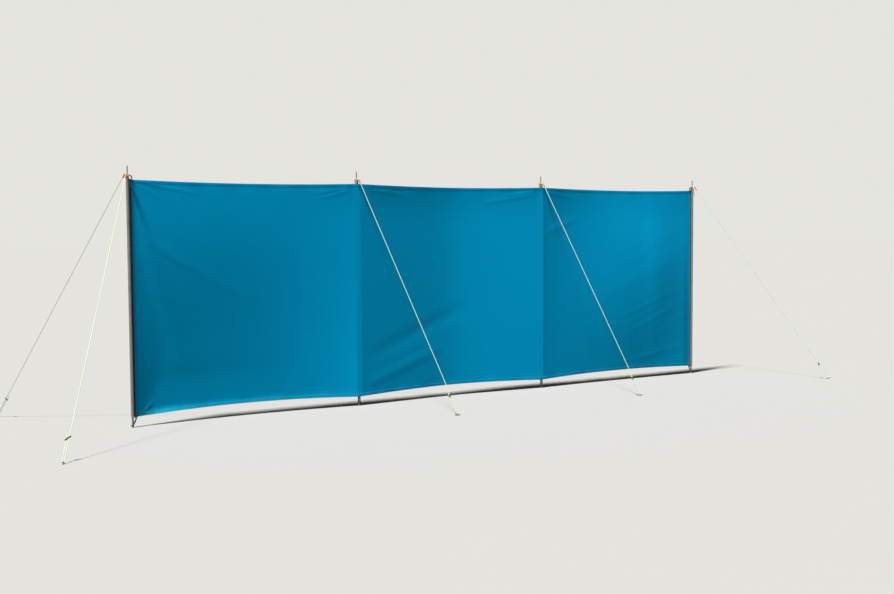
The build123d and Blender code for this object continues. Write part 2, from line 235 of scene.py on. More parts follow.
def shell(points, thickness):
    """Give a grid of points a thickness: two faces and a rim round all four edges."""
    rows, columns, _ = points.shape
    along = np.gradient(points, axis=1)
    upward = np.gradient(points, axis=0)
    normal = np.cross(along, upward)
    normal /= np.linalg.norm(normal, axis=2, keepdims=True)
    front = points + normal * thickness / 2
    back = points - normal * thickness / 2
    corners = np.concatenate([front.reshape(-1, 3), back.reshape(-1, 3)])
    count = rows * columns
    faces = grid_faces(rows, columns) + grid_faces(rows, columns, count, flip=True)
    rim = list(range(columns))
    rim += [r * columns + columns - 1 for r in range(1, rows)]
    rim += [(rows - 1) * columns + c for c in range(columns - 2, -1, -1)]
    rim += [r * columns for r in range(rows - 2, 0, -1)]
    for a, b in zip(rim, rim[1:] + rim[:1]):
        faces.append((a, a + count, b + count, b))
    return corners, faces


def swept(sections):
    """A closed bar from a row of equal sections: its skin and a face at each end."""
    stations, count, _ = sections.shape
    faces = []
    for r in range(stations - 1):
        for s in range(count):
            a, b = r * count + s, r * count + (s + 1) % count
            faces.append((a, b, b + count, a + count))
    faces.append(tuple(range(count))[::-1])
    faces.append(tuple(range((stations - 1) * count, stations * count)))
    return sections.reshape(-1, 3), faces


def reach_along(path):
    """How far along a path each of its points is."""
    return np.concatenate([[0], np.cumsum(np.linalg.norm(np.diff(path, axis=0), axis=1))])


def points_at(path, reach, at):
    """The points that lie at the given distances along a path."""
    return np.stack([np.interp(at, reach, path[:, i]) for i in range(3)], axis=1)


def resample(path, step):
    """Points at an even step along a polyline."""
    path = np.asarray(path, float)
    reach = reach_along(path)
    count = max(2, int(round(reach[-1] / step)) + 1)
    return points_at(path, reach, np.linspace(0, reach[-1], count))


def smooth_path(points, step):
    """Points at an even step on a smooth curve that passes through the given ones."""
    points = np.asarray(points, float)
    ends = np.concatenate([[2 * points[0] - points[1]], points, [2 * points[-1] - points[-2]]])
    t = np.linspace(0, 1, SPAN_STEPS, endpoint=False)[:, None]
    curve = []
    for a, b, c, d in zip(ends, ends[1:], ends[2:], ends[3:]):
        bend = (2 * a - 5 * b + 4 * c - d) * t**2 + (3 * b - a - 3 * c + d) * t**3
        curve.append(b + 0.5 * ((c - a) * t + bend))
    curve.append(points[-1:])
    return resample(np.concatenate(curve), step)


def carried_frames(path):
    """For each point of a path, two directions square to it, carried along without a twist."""
    tangents = np.gradient(path, axis=0)
    tangents /= np.linalg.norm(tangents, axis=1, keepdims=True)
    start = np.array([0, 0, 1.0]) if abs(tangents[0][2]) < 0.9 else np.array([1.0, 0, 0])
    side = np.cross(tangents[0], start)
    sides = [side / np.linalg.norm(side)]
    for tangent in tangents[1:]:
        side = sides[-1] - tangent * np.dot(sides[-1], tangent)
        sides.append(side / np.linalg.norm(side))
    sides = np.array(sides)
    return sides, np.cross(tangents, sides)


def tube(path, radius, sides, lobes=0, lay=1.0, depth=0.0):
    """A closed tube along a path. With lobes, its section is a laid rope's and turns as it goes."""
    across, upward = carried_frames(path)
    reach = reach_along(path)
    angles = np.arange(sides) * 2 * math.pi / sides
    scale = np.ones((len(path), sides))
    if lobes:
        turn = 2 * math.pi * reach / lay
        scale -= depth * (1 - np.abs(np.cos(lobes * (angles[None, :] - turn[:, None]) / 2)))
    scale[0] *= END_TAPER
    scale[-1] *= END_TAPER
    ring = (np.cos(angles) * scale)[..., None] * across[:, None, :]
    ring += (np.sin(angles) * scale)[..., None] * upward[:, None, :]
    corners, faces = swept(path[:, None, :] + radius * ring)
    uvs = []
    for here, there in zip(reach, reach[1:]):
        for s in range(sides):
            low, high = s / sides, (s + 1) / sides
            uvs += [(low, here), (high, here), (high, there), (low, there)]
    uvs += [(0.5, 0)] * sides + [(0.5, reach[-1])] * sides
    return corners, faces, uvs


def joined(parts):
    """Join several (corners, faces, uvs) into one."""
    corners, faces, uvs, start = [], [], [], 0
    for part_corners, part_faces, part_uvs in parts:
        corners.append(np.asarray(part_corners))
        uvs.append(np.asarray(part_uvs))
        faces += [tuple(i + start for i in face) for face in part_faces]
        start += len(part_corners)
    return np.concatenate(corners), faces, np.concatenate(uvs)


# Materials

COLOUR_UNDER, COLOUR_OVER, COLOUR_RESULT = 6, 7, 2  # a Mix node's sockets for colours
MASK_SPAN = (0.3, 0.7)  # where nearly all of a noise lies


def node(tree, kind, inputs, **options):
    """Add a node. inputs gives its sockets plain values or the outputs of other nodes."""
    made = tree.nodes.new(kind)
    for name, value in options.items():
        setattr(made, name, value)
    for socket, value in inputs.items():
        if isinstance(value, bpy.types.NodeSocket):
            tree.links.new(value, made.inputs[socket])
        else:
            made.inputs[socket].default_value = value
    return made


def reckon(tree, operation, *values, clamp=False):
    """A sum worked out at every point of the surface."""
    sockets = dict(enumerate(values))
    made = node(tree, "ShaderNodeMath", sockets, operation=operation, use_clamp=clamp)
    return made.outputs[0]


def mixed(tree, share, first, second):
    """Two masks mixed, with the given share of the second."""
    sockets = {"Factor": share, "A": first, "B": second}
    return node(tree, "ShaderNodeMix", sockets, data_type="FLOAT").outputs["Result"]


def layered(tree, share, under, over):
    """One colour laid over another by a mask."""
    sockets = {"Factor": share, COLOUR_UNDER: under, COLOUR_OVER: over}
    return node(tree, "ShaderNodeMix", sockets, data_type="RGBA").outputs[COLOUR_RESULT]


def ranged(tree, value, low, high, to_low=0.0, to_high=1.0, soft=False):
    """A value moved from one range to another, and kept inside it."""
    sockets = {"Value": value, "From Min": low, "From Max": high}
    sockets.update({"To Min": to_low, "To Max": to_high})
    kind = "SMOOTHSTEP" if soft else "LINEAR"
    return node(tree, "ShaderNodeMapRange", sockets, interpolation_type=kind).outputs[0]


def noise(tree, where, **sizes):
    return node(tree, "ShaderNodeTexNoise", {"Vector": where, **sizes}).outputs["Fac"]


def split(tree, vector):
    """The X, Y and Z of a vector."""
    return node(tree, "ShaderNodeSeparateXYZ", {0: vector}).outputs


def new_group(name, inputs, outputs):
    """A shader node group with named sockets. inputs is (name, kind, default)."""
    tree = bpy.data.node_groups.new(name, "ShaderNodeTree")
    for label, kind, default in inputs:
        socket = tree.interface.new_socket(label, in_out="INPUT", socket_type="NodeSocket" + kind)
        if default is not None:
            socket.default_value = default
    for label, kind in outputs:
        tree.interface.new_socket(label, in_out="OUTPUT", socket_type="NodeSocket" + kind)
    given, out = tree.nodes.new("NodeGroupInput"), tree.nodes.new("NodeGroupOutput")
    return tree, given.outputs, out.inputs


def woven_threads():
    """A plain weave: threads over and under each other, from a vector in metres."""
    tree, given, out = new_group(
        "woven_threads",
        [("Vector", "Vector", None), ("Threads", "Float", 1400.0)],
        [("Height", "Float")],
    )
    sockets = {0: given["Vector"], "Scale": given["Threads"]}
    scaled = node(tree, "ShaderNodeVectorMath", sockets, operation="SCALE").outputs[0]
    parts = split(tree, scaled)
    waves = []
    for axis in ("X", "Y"):
        wave = reckon(tree, "SINE", reckon(tree, "MULTIPLY", parts[axis], math.pi))
        waves.append(reckon(tree, "MULTIPLY", wave, wave))
    checks = node(tree, "ShaderNodeTexChecker", {"Vector": scaled, "Scale": 1.0}).outputs["Fac"]
    tree.links.new(mixed(tree, checks, *waves), out["Height"])
    return tree


def uneven_colour():
    """Two sizes of soft patches that lighten and darken a colour."""
    tree, given, out = new_group(
        "uneven_colour",
        [
            ("Colour", "Color", (0.5, 0.5, 0.5, 1)),
            ("Vector", "Vector", None),
            ("Patches", "Float", 3.0),
            ("Amount", "Float", 0.1),
        ],
        [("Colour", "Color"), ("Mask", "Float")],
    )
    broad = noise(tree, given["Vector"], Scale=given["Patches"], Detail=3.0, Roughness=0.55)
    finer = reckon(tree, "MULTIPLY", given["Patches"], 9.0)
    fine = noise(tree, given["Vector"], Scale=finer, Detail=4.0, Roughness=0.6)
    both = mixed(tree, 0.35, broad, fine)
    change = reckon(tree, "MULTIPLY", reckon(tree, "SUBTRACT", both, 0.5), given["Amount"])
    sockets = {"Value": reckon(tree, "ADD", change, 1.0), "Color": given["Colour"]}
    tree.links.new(node(tree, "ShaderNodeHueSaturation", sockets).outputs[0], out["Colour"])
    tree.links.new(both, out["Mask"])
    return tree


def ground_dust():
    """Dry dust that thins out with the height over the ground."""
    tree, given, out = new_group(
        "ground_dust",
        [
            ("Colour", "Color", (0.5, 0.5, 0.5, 1)),
            ("Dust", "Color", (0.42, 0.36, 0.24, 1)),
            ("Vector", "Vector", None),
            ("Reach", "Float", 0.15),
            ("Amount", "Float", 0.4),
        ],
        [("Colour", "Color")],
    )
    height = split(tree, given["Vector"])["Z"]
    fade = ranged(tree, height, 0.0, given["Reach"], 1.0, 0.0, soft=True)
    grains = noise(tree, given["Vector"], Scale=60.0, Detail=6.0, Roughness=0.7)
    covered = reckon(tree, "MULTIPLY", fade, ranged(tree, grains, 0.38, 0.72))
    mask = reckon(tree, "MULTIPLY", covered, given["Amount"], clamp=True)
    tree.links.new(layered(tree, mask, given["Colour"], given["Dust"]), out["Colour"])
    return tree


WOVEN = woven_threads()
UNEVEN = uneven_colour()
DUST = ground_dust()


def start_material(name, **settings):
    """A material with plain constants set on its shader's own sockets."""
    material = bpy.data.materials.new(name)
    material.use_nodes = True
    tree = material.node_tree
    shader = tree.nodes["Principled BSDF"]
    for key, value in settings.items():
        shader.inputs[key.replace("_", " ")].default_value = value
    return material, tree, shader


def use_group(tree, group, **inputs):
    return node(tree, "ShaderNodeGroup", inputs, node_tree=group).outputs


def place(tree, output="Object"):
    """Where a point of the surface is, in its piece or on the piece's UV map."""
    return tree.nodes.new("ShaderNodeTexCoord").outputs[output]


def surface(tree, shader, colour, rough, relief):
    """Link what changes over a surface.

    rough is a mask and the roughness at its low and high end. relief is a height, how strong its
    bumps are and how deep.
    """
    mask, smooth, dull = rough
    height, strength, depth = relief
    sockets = {"Height": height, "Strength": strength, "Distance": depth}
    bumps = node(tree, "ShaderNodeBump", sockets).outputs["Normal"]
    tree.links.new(colour, shader.inputs["Base Color"])
    tree.links.new(ranged(tree, mask, *MASK_SPAN, smooth, dull), shader.inputs["Roughness"])
    tree.links.new(bumps, shader.inputs["Normal"])


def cloth_material(name, shade_low_colour, lit_high_colour, bounce_hem_colour):
    """Coated polyester with painted light: its colour is lighter towards the upper edge and darker
    towards the hem, which is painted shade, and greener at the hem near the first pole, which is
    painted green bounce light.
    """
    material, tree, shader = start_material(
        name, Specular_IOR_Level=0.1, Specular_Tint=(0.0, 0.6, 0.8, 1)
    )
    where = place(tree)
    parts = split(tree, where)
    # Painted shade: the colour darkens from the upper edge down towards the hem.
    height = ranged(tree, parts["Z"], CLOTH_BOTTOM - 0.25, CLOTH_TOP, soft=True)
    # Painted green bounce light on the hem near the first pole.
    bounce_at_hem = ranged(tree, parts["Z"], CLOTH_BOTTOM + HEM_ZONE, CLOTH_BOTTOM + 0.015, soft=True)
    bounce_near_first = ranged(tree, parts["X"], 1.5, 0.9)
    colour = layered(tree, height, shade_low_colour, lit_high_colour)
    colour = layered(tree, reckon(tree, "MULTIPLY", bounce_at_hem, bounce_near_first), colour, bounce_hem_colour)
    uneven = use_group(tree, UNEVEN, Colour=colour, Vector=where, Patches=1.6, Amount=0.12)
    dusty = use_group(tree, DUST, Colour=uneven["Colour"], Vector=where, Reach=0.16, Amount=0.05)
    weave = use_group(tree, WOVEN, Vector=place(tree, "UV"), Threads=1500.0)["Height"]
    rough = (uneven["Mask"], 0.5, 0.66)
    surface(tree, shader, dusty["Colour"], rough, (weave, 0.2, 0.06 * MM))
    return material


def tape_material(name, colour, worn, shine=0.3, sheen=0.15):
    """Polyester tape or thread with a ribbed weave and paler, rubbed high spots."""
    material, tree, shader = start_material(name, Specular_IOR_Level=shine, Sheen_Weight=sheen)
    where = place(tree)
    uneven = use_group(tree, UNEVEN, Colour=colour, Vector=where, Patches=14.0, Amount=0.5)
    weave = use_group(tree, WOVEN, Vector=place(tree, "UV"), Threads=700.0)["Height"]
    rubbed = layered(tree, reckon(tree, "MULTIPLY", weave, 0.35), uneven["Colour"], worn)
    dusty = use_group(tree, DUST, Colour=rubbed, Vector=where, Reach=0.2, Amount=0.25)
    rough = (uneven["Mask"], 0.62, 0.85)
    surface(tree, shader, dusty["Colour"], rough, (weave, 0.6, 0.4 * MM))
    return material


def elastic_material(name, colour, worn):
    """Black elastic in a braided cover: threads that cross on the slant all round the cord."""
    material, tree, shader = start_material(name, Specular_IOR_Level=0.15)
    sockets = {"Vector": place(tree, "UV"), "Scale": (2 * math.pi * ELASTIC_RADIUS, 1, 1)}
    flat = node(tree, "ShaderNodeMapping", sockets).outputs[0]
    sockets = {"Vector": flat, "Rotation": (0, 0, math.radians(45))}
    slant = node(tree, "ShaderNodeMapping", sockets).outputs[0]
    braid = use_group(tree, WOVEN, Vector=slant, Threads=1100.0)["Height"]
    uneven = use_group(tree, UNEVEN, Colour=colour, Vector=place(tree), Patches=60.0, Amount=0.5)
    rubbed = layered(tree, braid, uneven["Colour"], worn)
    surface(tree, shader, rubbed, (uneven["Mask"], 0.6, 0.8), (braid, 0.7, 0.4 * MM))
    return material


def steel_material(name, colour, stain, streaks, rough, dust_reach):
    """Drawn steel: fine streaks along it, soft stains, and dust near the ground."""
    material, tree, shader = start_material(name, Metallic=0.75)
    where = place(tree)
    drawn = node(tree, "ShaderNodeVectorMath", {0: where, 1: streaks}, operation="MULTIPLY")
    grain = noise(tree, drawn.outputs[0], Scale=1.0, Detail=5.0, Roughness=0.6)
    stained = ranged(tree, noise(tree, where, Scale=22.0, Detail=5.0, Roughness=0.65), 0.5, 0.75)
    tone = layered(tree, stained, colour, stain)
    uneven = use_group(tree, UNEVEN, Colour=tone, Vector=where, Patches=9.0, Amount=0.3)
    dusty = use_group(
        tree, DUST, Colour=uneven["Colour"], Vector=where, Reach=dust_reach, Amount=0.5
    )
    surface(tree, shader, dusty["Colour"], (grain, *rough), (grain, 0.2, 0.2 * MM))
    return material


def rope_material(name, colour, tracer):
    """Laid polypropylene cord: its fibres follow the lay, with a tracer yarn in each turn."""
    material, tree, shader = start_material(name, Specular_IOR_Level=0.3, Sheen_Weight=0.3)
    where = place(tree)
    around = split(tree, place(tree, "UV"))
    strand = reckon(tree, "SUBTRACT", around["X"], reckon(tree, "DIVIDE", around["Y"], ROPE_LAY))
    tone = layered(tree, ranged(tree, reckon(tree, "FRACT", strand), 0.66, 0.72), colour, tracer)
    uneven = use_group(tree, UNEVEN, Colour=tone, Vector=where, Patches=30.0, Amount=0.5)
    dusty = use_group(tree, DUST, Colour=uneven["Colour"], Vector=where, Reach=0.12, Amount=0.3)
    sockets = {
        "X": reckon(tree, "MULTIPLY", strand, 60.0),
        "Y": reckon(tree, "MULTIPLY", around["Y"], 250.0),
    }
    drawn = node(tree, "ShaderNodeCombineXYZ", sockets).outputs[0]
    fibres = noise(tree, drawn, Scale=1.0, Detail=3.0)
    rough = (uneven["Mask"], 0.6, 0.9)
    surface(tree, shader, dusty["Colour"], rough, (fibres, 0.5, 0.3 * MM))
    return material


def plastic_material(name, colour, scuff):
    """Moulded plastic with a fine spark-eroded grain and pale scuffs."""
    material, tree, shader = start_material(name, Specular_IOR_Level=0.4)
    where = place(tree)
    uneven = use_group(tree, UNEVEN, Colour=colour, Vector=where, Patches=40.0, Amount=0.35)
    scratches = noise(tree, where, Scale=160.0, Detail=8.0, Roughness=0.8)
    tone = layered(tree, ranged(tree, scratches, 0.6, 0.8), uneven["Colour"], scuff)
    dusty = use_group(tree, DUST, Colour=tone, Vector=where, Reach=0.06, Amount=0.7)
    grain = noise(tree, where, Scale=1800.0, Detail=2.0)
    rough = (scratches, 0.38, 0.6)
    surface(tree, shader, dusty["Colour"], rough, (grain, 0.25, 0.1 * MM))
    return material


CLOTH = cloth_material(
    "petrol_cloth",
    # Painted shade in the low colour, painted light in the high colour.
    shade_low_colour=(0.0, 0.325, 0.610, 1),
    lit_high_colour=(0.0, 0.350, 0.660, 1),
    # Painted green bounce light on the hem.
    bounce_hem_colour=(0.01, 0.345, 0.50, 1),
)
THREAD = tape_material(
    "petrol_thread", (0.0, 0.27, 0.50, 1), (0.0, 0.32, 0.58, 1), shine=0.05, sheen=0
)
DARK_THREAD = tape_material("black_thread", (0.02, 0.02, 0.025, 1), (0.10, 0.10, 0.11, 1))
TAPE = tape_material("black_tape", (0.028, 0.027, 0.034, 1), (0.085, 0.08, 0.095, 1))
ELASTIC = elastic_material("black_elastic", (0.005, 0.005, 0.006, 1), (0.018, 0.018, 0.020, 1))
POLE_STEEL = steel_material(
    "pole_steel",
    colour=(0.39, 0.365, 0.34, 1),
    stain=(0.26, 0.240, 0.22, 1),
    streaks=(900, 900, 14),
    rough=(0.36, 0.55),
    dust_reach=0.25,
)
PIN_STEEL = steel_material(
    "pin_steel",
    colour=(0.26, 0.26, 0.27, 1),
    stain=(0.15, 0.14, 0.14, 1),
    streaks=(500, 500, 60),
    rough=(0.30, 0.5),
    dust_reach=0.1,
)
FOOT_STEEL = steel_material(
    "foot_steel",
    colour=(0.46, 0.44, 0.41, 1),
    stain=(0.28, 0.25, 0.21, 1),
    streaks=(800, 800, 30),
    rough=(0.3, 0.5),
    dust_reach=0.08,
)
PEG_STEEL = steel_material(
    "peg_steel",
    colour=(0.42, 0.42, 0.41, 1),
    stain=(0.24, 0.19, 0.13, 1),
    streaks=(700, 700, 120),
    rough=(0.32, 0.6),
    dust_reach=0.05,
)
ROPE = rope_material("sand_rope", (0.42, 0.53, 0.36, 1), (0.39, 0.46, 0.27, 1))
# The eye, winding and tails at the pin: a darker, oranger copy of the rope, partly its orange
# tracer yarn and partly painted shade.
SHADED_EYE_ROPE = rope_material("shaded_eye_rope", (0.46, 0.24, 0.10, 1), (0.62, 0.46, 0.26, 1))
RUNNER_PLASTIC = plastic_material("runner_plastic", (0.018, 0.018, 0.02, 1), (0.10, 0.10, 0.10, 1))


# The cloth wall

# Each bay's folds: the two ends (x, z) on the wall, the width, and how far it stands back
FIRST_BAY_FOLDS = (
    ((0.02, 1.454), (0.25, 1.326), 9 * MM, -0.5 * MM),
    ((0.03, 1.456), (0.43, 1.388), 9 * MM, -0.8 * MM),
    ((0.12, 1.110), (0.30, 0.985), 8 * MM, -0.7 * MM),
    ((0.14, 1.064), (0.38, 0.925), 9 * MM, -0.8 * MM),
    ((0.10, 1.120), (0.80, 0.700), 30 * MM, -0.5 * MM),
    ((0.060, 0.074), (0.135, 0.140), 8 * MM, -1.8 * MM),
    ((1.50, 1.446), (1.20, 1.400), 9 * MM, -0.6 * MM),
    ((1.50, 1.433), (1.22, 1.362), 10 * MM, -0.6 * MM),
)
SECOND_BAY_FOLDS = (
    ((3.00, 1.443), (2.67, 1.400), 10 * MM, -0.7 * MM),
    ((2.99, 1.420), (2.50, 1.352), 14 * MM, -0.8 * MM),
    ((1.51, 1.440), (1.90, 1.395), 12 * MM, -0.6 * MM),
    ((1.53, 0.120), (2.20, 0.340), 36 * MM, -1.2 * MM),
    ((1.55, 0.300), (2.40, 0.620), 50 * MM, 1.4 * MM),
)
LAST_BAY_FOLDS = (
    ((3.76, 0.480), (4.30, 0.668), 17 * MM, -0.4 * MM),
    ((3.82, 0.345), (4.32, 0.562), 17 * MM, -0.4 * MM),
    ((3.68, 0.100), (4.46, 0.238), 18 * MM, -0.4 * MM),
    ((3.40, 0.560), (4.40, 0.980), 60 * MM, -0.6 * MM),
    ((3.02, 1.436), (3.30, 1.390), 11 * MM, -0.6 * MM),
    ((3.02, 1.130), (3.36, 1.250), 20 * MM, -0.8 * MM),
)
# How far the hem swings forward at places along the row
KICK_X = (0.03, 0.08, 0.17, 0.25, 0.43, 0.8, 1.4, 1.6)
KICK = np.array([0.5, 2.2, 7, 6.3, 3.4, 3, 1, 0.2]) * MM
# How far the upper edge is drawn forward at places along the row
DRAWN_X = (0.8, 1.5, 3.0, 4.4)
DRAWN = np.array([0, 4, 5, 5]) * MM
# How far the cloth turns away at each end pole, and within what distance
FIRST_TURN, FIRST_TURN_REACH = 0.4 * MM, 13 * MM
LAST_TURN, LAST_TURN_REACH = 1.5 * MM, 15 * MM


def smooth_step(low, high, value):
    """Rises from 0 at low to 1 at high, or falls from 1 to 0 where low is the larger."""
    t = np.clip((value - low) / (high - low), 0, 1)
    return t * t * (3 - 2 * t)


def fold(x, z, start, end, width, height):
    """A soft fold along a line on the wall. It fades at both ends and on both sides."""
    (x0, z0), (x1, z1) = start, end
    length = math.hypot(x1 - x0, z1 - z0)
    way_x, way_z = (x1 - x0) / length, (z1 - z0) / length
    along = ((x - x0) * way_x + (z - z0) * way_z) / length
    aside = (x - x0) * -way_z + (z - z0) * way_x
    fade = np.clip(4 * along * (1 - along), 0, 1) ** 0.7
    return height * fade * np.exp(-((aside / width) ** 2))


def bend_line(x, z, start, end, softness, slope):
    """The cloth bends along a line and leans back above it."""
    (x0, z0), (x1, z1) = start, end
    length = math.hypot(x1 - x0, z1 - z0)
    above = ((x - x0) * (z0 - z1) + (z - z0) * (x1 - x0)) / length
    return slope * softness * np.logaddexp(0, above / softness)


def streaks(x, z, lean, spacing, height):
    """Many faint folds side by side, all with the same lean in degrees."""
    turn = math.radians(lean)
    aside = -x * math.sin(turn) + z * math.cos(turn)
    along = x * math.cos(turn) + z * math.sin(turn)
    waver = 0.02 * np.sin(along * 7.0) + 0.012 * np.sin(along * 17.0 + 2.0)
    wave = np.sin(2 * math.pi * (aside + waver) / spacing)
    wave += 0.6 * np.sin(2 * math.pi * (aside - waver) / (0.618 * spacing) + 1.3)
    return height * wave * (0.6 + 0.4 * np.sin(along * 5.0 + aside * 11.0))


def bay_ends(x):
    """For each x: the number of its bay from 0, and the places of the poles on both sides."""
    bay = np.clip(np.searchsorted(POLE_X, x, side="right") - 1, 0, BAY_COUNT - 1)
    poles = np.array(POLE_X)
    return bay, poles[bay], poles[bay + 1]


def pole_distances(x):
    """For each x: its bay, and its distances from the two poles as softened shares of the bay."""
    bay, start, end = bay_ends(x)
    width = POLE_X[1] - POLE_X[0] - 2 * FLAT_AT_POLE
    left, right = (
        (np.hypot(np.maximum(free - FLAT_AT_POLE, 0), POLE_CREST) - POLE_CREST) / width
        for free in (x - start, end - x)
    )
    return bay, left, right


def edge_lift(x, height):
    """The shallow curve of the upper edge or the hem between two poles."""
    _, start, end = bay_ends(x)
    across = np.clip((x - start) / (end - start), 0, 1)
    return height * 4 * across * (1 - across)


def line_y(x):
    """The wall's line from above, without its belly: to the end poles, past the middle ones."""
    return np.interp(x, POLE_X, [0, MIDDLE_CLOTH_Y, MIDDLE_CLOTH_Y, 0])


def belly(bay, left, right, up):
    """How far each bay bellies back. The middle one is a softened tent, the others are round."""
    peak, peak_round, at_poles = 0.02, 0.2, 1.02
    tent = (at_poles - np.hypot(left - right - peak, peak_round)) / (at_poles - peak_round)
    free = np.where(bay == 1, np.clip(tent, 0, 1), 4 * left * right)
    return free * (BELLY_HIGH[bay] + (BELLY_LOW - BELLY_HIGH)[bay] * (1 - up) ** 1.6)


def folds_in(x, z, folds):
    return sum(fold(x, z, *one) for one in folds)


def first_bay(x, z):
    """Folds that fall away from the upper corner, and a swelling beside the pole's foot."""
    start, bottom, height = 0.02, 0.02, 0.90  # where the swelling is, along the row and up
    narrow, wide, crest = 0.04, 0.118, 0.07
    round_side = np.sin(math.pi * np.clip((z - bottom) / height, 0, 1)) ** 0.8
    across = np.maximum(x - start, 0) / (narrow + wide * round_side)
    swell = (1 - crest * np.logaddexp(0, (1 - across) / crest)) * smooth_step(1.3, 0.3, x)
    swell *= smooth_step(-0.05, 0.3, z) * smooth_step(1.15, 0.45, z)
    slant = smooth_step(1.1, 0.3, x) * smooth_step(1.42, 1.2, z)
    folds = folds_in(x, z, FIRST_BAY_FOLDS) + 9 * MM * swell
    return folds + slant * streaks(x, z, lean=-31, spacing=95 * MM, height=0.06 * MM)


def last_bay(x, z):
    """Long folds that rise towards the last pole.

    Its lower half leans forward as it rises, and above a slanting line the cloth leans back.
    """
    near_last = smooth_step(3.0, 3.9, x) * smooth_step(4.50, 4.05, x)
    slope = 0.06
    lean = bend_line(x, z, (3.0, 0.75), (4.5, 0.75), softness=130 * MM, slope=slope)
    lean = lean - slope * (z - CLOTH_BOTTOM)
    lean = lean + bend_line(x, z, (3.50, 1.30), (4.45, 0.80), softness=70 * MM, slope=0.08)
    drawn = smooth_step(3.1, 3.9, x) * smooth_step(1.3, 0.3, z)
    drawn = drawn * (1 - np.exp(np.minimum(x - CLOTH_RIGHT, 0) / 0.1))
    rising = smooth_step(3.4, 4.0, x) * smooth_step(1.3, 0.9, z)
    folds = folds_in(x, z, LAST_BAY_FOLDS) + lean * near_last - 13 * MM * drawn
    return folds + rising * streaks(x, z, lean=22, spacing=110 * MM, height=0.08 * MM)


def end_turns(x):
    """The cloth turns a little within a finger's width of each end pole."""
    first = FIRST_TURN * (1 - np.exp((CLOTH_LEFT - x) / FIRST_TURN_REACH))
    last = LAST_TURN * (1 - np.exp((x - CLOTH_RIGHT) / LAST_TURN_REACH))
    return first * smooth_step(1.0, 0.2, x) - last * smooth_step(3.5, 4.3, x)


def edge_shape(x, z, clear):
    """The upper edge is drawn tight and waves a little. The hem swings forward and ripples."""

    def to_top(reach):
        return np.clip((z - CLOTH_TOP + reach) / reach, 0, 1)

    def to_hem(reach):
        return np.clip((CLOTH_BOTTOM + reach - z) / reach, 0, 1)

    tight = np.interp(x, DRAWN_X, DRAWN) * to_top(0.25) ** 2
    wave = 0.5 * MM * np.sin(x * 27.0 + 0.7) * to_top(0.09) ** 2
    low = to_hem(HEM_ZONE)
    kick = np.interp(x, KICK_X, KICK) * low**2
    swing = 0.6 * MM * to_hem(0.12) ** 2 * smooth_step(0.03, 0.2, x) * smooth_step(1.6, 1.2, x)
    ripple = np.sin(x * 19.0) + 0.6 * np.sin(x * 43.0 + 1.0)
    small = np.sin(x * 170.0 + 3.0 * np.sin(x * 31.0)) * smooth_step(1.5, 0.7, x)
    ripples = (0.5 * ripple + 0.8 * small) * MM * low
    return (wave - tight + ripples) * clear - kick - swing


def wall_y(x, z):
    """How far the cloth's middle stands towards +Y: the belly of each bay and every fold in it."""
    bay, left, right = pole_distances(x)
    up = np.clip((z - CLOTH_BOTTOM) / (CLOTH_TOP - CLOTH_BOTTOM), 0, 1)
    clear = smooth_step(0, 0.05, np.minimum(left, right))
    folds = first_bay(x, z) + folds_in(x, z, SECOND_BAY_FOLDS) + last_bay(x, z)
    y = line_y(x) + belly(bay, left, right, up) + folds * clear
    return y + end_turns(x) + edge_shape(x, z, clear)


def stepped(low, high, fine_spots):
    """Places from low to high: close together near the fine spots, further apart elsewhere."""
    places = [low]
    while places[-1] < high:
        gap = min(abs(places[-1] - spot) for spot in fine_spots)
        grown = min(1.0, gap / FINE_REACH)
        places.append(places[-1] + FINE_STEP + (COARSE_STEP - FINE_STEP) * grown)
    spread = (np.array(places) - low) * (high - low) / (places[-1] - low)
    return low + spread


def wall_point(x, z):
    """The point on the cloth that was at (x, z) before the edges took their curves."""
    up = (z - CLOTH_BOTTOM) / (CLOTH_TOP - CLOTH_BOTTOM)
    lifted = z + edge_lift(x, HEM_RISE) * (1 - up) - edge_lift(x, TOP_SAG) * up
    return np.stack([x, wall_y(x, z), lifted], axis=-1)


def cloth_wall():
    columns = stepped(CLOTH_LEFT, CLOTH_RIGHT, POLE_X)
    rows = stepped(CLOTH_BOTTOM, CLOTH_TOP, (CLOTH_BOTTOM, CLOTH_TOP))
    x, z = np.meshgrid(columns, rows)
    corners, faces = shell(wall_point(x, z), CLOTH_THICK)
    flat = np.stack([x.ravel(), z.ravel()], axis=1)
    uvs = corner_uvs(faces, np.concatenate([flat, flat]))
    wall = add_piece("cloth_wall", corners, faces, CLOTH, uvs)
    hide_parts(*[f"cloth_bay_{n}" for n in range(1, BAY_COUNT + 1)])
    return wall


def hem(name, edge_z, inward):
    """The folded edge of the cloth: a soft, doubled band that wraps round the edge."""
    half = CLOTH_THICK / 2 + HEM_STAND
    round_edge = [(half * (1 - math.cos(t)), -half * math.sin(t)) for t in half_turn(30)]
    face = [(HEM_WIDTH, 0.4), (HEM_WIDTH - 0.3 * MM, 0.97), (HEM_WIDTH - 1 * MM, 1)]
    face += [(HEM_WIDTH * 0.5, 1), (3 * MM, 1), (2 * MM, 1)]
    section = [(depth, half * out) for depth, out in face] + round_edge
    section += [(depth, -half * out) for depth, out in face[::-1]]
    depth, aside = np.array(section).T
    columns = stepped(CLOTH_LEFT + HEM_SHORT, CLOTH_RIGHT - HEM_SHORT, POLE_X)
    x, z = np.meshgrid(columns, edge_z + inward * depth, indexing="ij")
    base = wall_point(x, z)
    normal = np.cross(wall_point(x + 1 * MM, z) - base, wall_point(x, z + 1 * MM) - base)
    normal /= np.linalg.norm(normal, axis=2, keepdims=True)
    corners, faces = swept(base + normal * aside[None, :, None])
    flat = np.stack([x, z + aside[None, :]], axis=2).reshape(-1, 2)
    return add_piece(name, corners, faces, CLOTH, corner_uvs(faces, flat))


